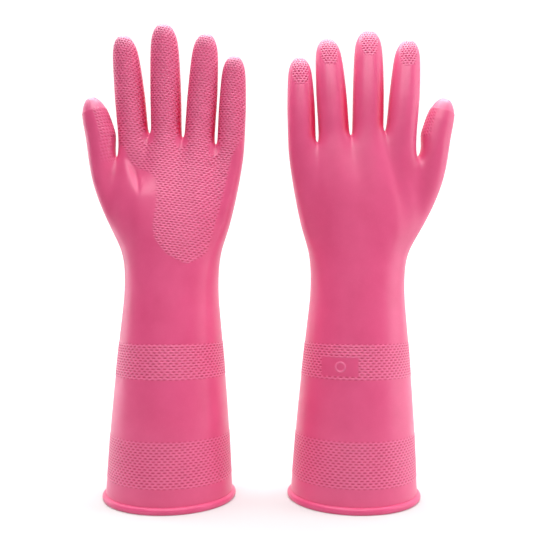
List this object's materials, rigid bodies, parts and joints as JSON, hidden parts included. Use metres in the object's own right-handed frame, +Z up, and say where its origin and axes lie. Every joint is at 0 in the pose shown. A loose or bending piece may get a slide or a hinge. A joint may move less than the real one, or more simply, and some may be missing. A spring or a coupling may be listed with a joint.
{
  "type": "rubber gloves",
  "caption": "Pair of long pink household rubber gloves standing on their cuffs, with textured grip, banded sleeves and a rolled rim.",
  "frame": {"origin": "on the floor, midway between the two gloves' wrist centres", "axes": "+Z up along the gloves, +X from glove A to glove B, -Y the side to which glove A turns its palm"},
  "size_m": [0.2972, 0.1054, 0.3732],
  "materials": {
    "rubber": "satin moulded natural rubber with a raised scale grip",
    "bead": "satin rolled rubber bead"
  },
  "bodies": {
    "glove_a_cuff": {"glove_a_cuff_bead": "bead", "glove_a_sleeve": "rubber", "glove_a_wrist": "rubber"},
    "glove_a_palm": {"glove_a_hand": "rubber", "glove_a_index_knuckle": "rubber", "glove_a_middle_knuckle": "rubber", "glove_a_ring_knuckle": "rubber", "glove_a_little_knuckle": "rubber", "glove_a_thumb_knuckle": "rubber"},
    "glove_a_index_lower": {"glove_a_index_root": "rubber", "glove_a_index_joint": "rubber"},
    "glove_a_index_end": {"glove_a_index_tip": "rubber"},
    "glove_a_middle_lower": {"glove_a_middle_root": "rubber", "glove_a_middle_joint": "rubber"},
    "glove_a_middle_end": {"glove_a_middle_tip": "rubber"},
    "glove_a_ring_lower": {"glove_a_ring_root": "rubber", "glove_a_ring_joint": "rubber"},
    "glove_a_ring_end": {"glove_a_ring_tip": "rubber"},
    "glove_a_little_lower": {"glove_a_little_root": "rubber", "glove_a_little_joint": "rubber"},
    "glove_a_little_end": {"glove_a_little_tip": "rubber"},
    "glove_a_thumb_lower": {"glove_a_thumb_root": "rubber", "glove_a_thumb_joint": "rubber"},
    "glove_a_thumb_end": {"glove_a_thumb_tip": "rubber"},
    "glove_b_cuff": {"glove_b_cuff_bead": "bead", "glove_b_sleeve": "rubber", "glove_b_wrist": "rubber"},
    "glove_b_palm": {"glove_b_hand": "rubber", "glove_b_index_knuckle": "rubber", "glove_b_middle_knuckle": "rubber", "glove_b_ring_knuckle": "rubber", "glove_b_little_knuckle": "rubber", "glove_b_thumb_knuckle": "rubber"},
    "glove_b_index_lower": {"glove_b_index_root": "rubber", "glove_b_index_joint": "rubber"},
    "glove_b_index_end": {"glove_b_index_tip": "rubber"},
    "glove_b_middle_lower": {"glove_b_middle_root": "rubber", "glove_b_middle_joint": "rubber"},
    "glove_b_middle_end": {"glove_b_middle_tip": "rubber"},
    "glove_b_ring_lower": {"glove_b_ring_root": "rubber", "glove_b_ring_joint": "rubber"},
    "glove_b_ring_end": {"glove_b_ring_tip": "rubber"},
    "glove_b_little_lower": {"glove_b_little_root": "rubber", "glove_b_little_joint": "rubber"},
    "glove_b_little_end": {"glove_b_little_tip": "rubber"},
    "glove_b_thumb_lower": {"glove_b_thumb_root": "rubber", "glove_b_thumb_joint": "rubber"},
    "glove_b_thumb_end": {"glove_b_thumb_tip": "rubber"}
  },
  "joints": [
    {"name": "glove_a_wrist_bend", "type": "hinge", "parent": "glove_a_cuff", "child": "glove_a_palm", "pos_m": [-0.07715, 0, 0.178], "axis": [1, 0, 0], "range_deg": [-35, 35], "stiffness_Nm_per_rad": 0.6, "deforming": ["glove_a_wrist"]},
    {"name": "glove_a_index_base_bend", "type": "hinge", "parent": "glove_a_palm", "child": "glove_a_index_lower", "pos_m": [-0.10998, 0.00017, 0.3045], "axis": [1, 0, 0], "range_deg": [0, 70], "stiffness_Nm_per_rad": 0.03, "deforming": ["glove_a_index_knuckle"]},
    {"name": "glove_a_index_middle_bend", "type": "hinge", "parent": "glove_a_index_lower", "child": "glove_a_index_end", "pos_m": [-0.11196, -0.00253, 0.3305], "axis": [1, 0, 0], "range_deg": [0, 75], "stiffness_Nm_per_rad": 0.02, "deforming": ["glove_a_index_joint"]},
    {"name": "glove_a_middle_base_bend", "type": "hinge", "parent": "glove_a_palm", "child": "glove_a_middle_lower", "pos_m": [-0.08223, 0.0001, 0.3055], "axis": [1, 0, 0], "range_deg": [0, 70], "stiffness_Nm_per_rad": 0.03, "deforming": ["glove_a_middle_knuckle"]},
    {"name": "glove_a_middle_middle_bend", "type": "hinge", "parent": "glove_a_middle_lower", "child": "glove_a_middle_end", "pos_m": [-0.08235, -0.00311, 0.3345], "axis": [1, 0, 0], "range_deg": [0, 75], "stiffness_Nm_per_rad": 0.02, "deforming": ["glove_a_middle_joint"]},
    {"name": "glove_a_ring_base_bend", "type": "hinge", "parent": "glove_a_palm", "child": "glove_a_ring_lower", "pos_m": [-0.0543, 0.00031, 0.30225], "axis": [1, 0, 0], "range_deg": [0, 70], "stiffness_Nm_per_rad": 0.03, "deforming": ["glove_a_ring_knuckle"]},
    {"name": "glove_a_ring_middle_bend", "type": "hinge", "parent": "glove_a_ring_lower", "child": "glove_a_ring_end", "pos_m": [-0.05208, -0.00253, 0.3305], "axis": [1, 0, 0], "range_deg": [0, 75], "stiffness_Nm_per_rad": 0.02, "deforming": ["glove_a_ring_joint"]},
    {"name": "glove_a_little_base_bend", "type": "hinge", "parent": "glove_a_palm", "child": "glove_a_little_lower", "pos_m": [-0.02957, 0.00068, 0.29525], "axis": [1, 0, 0], "range_deg": [0, 70], "stiffness_Nm_per_rad": 0.03, "deforming": ["glove_a_little_knuckle"]},
    {"name": "glove_a_little_middle_bend", "type": "hinge", "parent": "glove_a_little_lower", "child": "glove_a_little_end", "pos_m": [-0.0285, -0.00108, 0.31875], "axis": [1, 0, 0], "range_deg": [0, 75], "stiffness_Nm_per_rad": 0.02, "deforming": ["glove_a_little_joint"]},
    {"name": "glove_a_thumb_base_bend", "type": "hinge", "parent": "glove_a_palm", "child": "glove_a_thumb_lower", "pos_m": [-0.13447, -0.00361, 0.289], "axis": [0.965, 0, 0.2622], "range_deg": [0, 38], "stiffness_Nm_per_rad": 0.04, "deforming": ["glove_a_thumb_knuckle"]},
    {"name": "glove_a_thumb_middle_bend", "type": "hinge", "parent": "glove_a_thumb_lower", "child": "glove_a_thumb_end", "pos_m": [-0.13807, -0.00423, 0.303], "axis": [0.965, 0, 0.2622], "range_deg": [0, 38], "stiffness_Nm_per_rad": 0.02, "deforming": ["glove_a_thumb_joint"]},
    {"name": "glove_b_wrist_bend", "type": "hinge", "parent": "glove_b_cuff", "child": "glove_b_palm", "pos_m": [0.07135, 0, 0.178], "axis": [-1, 0, 0], "range_deg": [-35, 35], "stiffness_Nm_per_rad": 0.6, "deforming": ["glove_b_wrist"]},
    {"name": "glove_b_index_base_bend", "type": "hinge", "parent": "glove_b_palm", "child": "glove_b_index_lower", "pos_m": [0.1069, -0.00017, 0.3045], "axis": [-1, 0, 0], "range_deg": [0, 70], "stiffness_Nm_per_rad": 0.03, "deforming": ["glove_b_index_knuckle"]},
    {"name": "glove_b_index_middle_bend", "type": "hinge", "parent": "glove_b_index_lower", "child": "glove_b_index_end", "pos_m": [0.10944, 0.00253, 0.3305], "axis": [-1, 0, 0], "range_deg": [0, 75], "stiffness_Nm_per_rad": 0.02, "deforming": ["glove_b_index_joint"]},
    {"name": "glove_b_middle_base_bend", "type": "hinge", "parent": "glove_b_palm", "child": "glove_b_middle_lower", "pos_m": [0.07917, -0.0001, 0.3055], "axis": [-1, 0, 0], "range_deg": [0, 70], "stiffness_Nm_per_rad": 0.03, "deforming": ["glove_b_middle_knuckle"]},
    {"name": "glove_b_middle_middle_bend", "type": "hinge", "parent": "glove_b_middle_lower", "child": "glove_b_middle_end", "pos_m": [0.07991, 0.00311, 0.3345], "axis": [-1, 0, 0], "range_deg": [0, 75], "stiffness_Nm_per_rad": 0.02, "deforming": ["glove_b_middle_joint"]},
    {"name": "glove_b_ring_base_bend", "type": "hinge", "parent": "glove_b_palm", "child": "glove_b_ring_lower", "pos_m": [0.05117, -0.00031, 0.30225], "axis": [-1, 0, 0], "range_deg": [0, 70], "stiffness_Nm_per_rad": 0.03, "deforming": ["glove_b_ring_knuckle"]},
    {"name": "glove_b_ring_middle_bend", "type": "hinge", "parent": "glove_b_ring_lower", "child": "glove_b_ring_end", "pos_m": [0.04955, 0.00253, 0.3305], "axis": [-1, 0, 0], "range_deg": [0, 75], "stiffness_Nm_per_rad": 0.02, "deforming": ["glove_b_ring_joint"]},
    {"name": "glove_b_little_base_bend", "type": "hinge", "parent": "glove_b_palm", "child": "glove_b_little_lower", "pos_m": [0.02629, -0.00068, 0.29525], "axis": [-1, 0, 0], "range_deg": [0, 70], "stiffness_Nm_per_rad": 0.03, "deforming": ["glove_b_little_knuckle"]},
    {"name": "glove_b_little_middle_bend", "type": "hinge", "parent": "glove_b_little_lower", "child": "glove_b_little_end", "pos_m": [0.02573, 0.00108, 0.31875], "axis": [-1, 0, 0], "range_deg": [0, 75], "stiffness_Nm_per_rad": 0.02, "deforming": ["glove_b_little_joint"]},
    {"name": "glove_b_thumb_base_bend", "type": "hinge", "parent": "glove_b_palm", "child": "glove_b_thumb_lower", "pos_m": [0.13416, 0.00361, 0.289], "axis": [-0.965, 0, 0.2622], "range_deg": [0, 38], "stiffness_Nm_per_rad": 0.04, "deforming": ["glove_b_thumb_knuckle"]},
    {"name": "glove_b_thumb_middle_bend", "type": "hinge", "parent": "glove_b_thumb_lower", "child": "glove_b_thumb_end", "pos_m": [0.13806, 0.00423, 0.303], "axis": [-0.965, 0, 0.2622], "range_deg": [0, 38], "stiffness_Nm_per_rad": 0.02, "deforming": ["glove_b_thumb_joint"]},
    {"name": "glove_b_apart", "type": "slide", "parent": "glove_a_cuff", "child": "glove_b_cuff", "axis": [1, 0, 0], "range_m": [0, 0.2]}
  ]
}
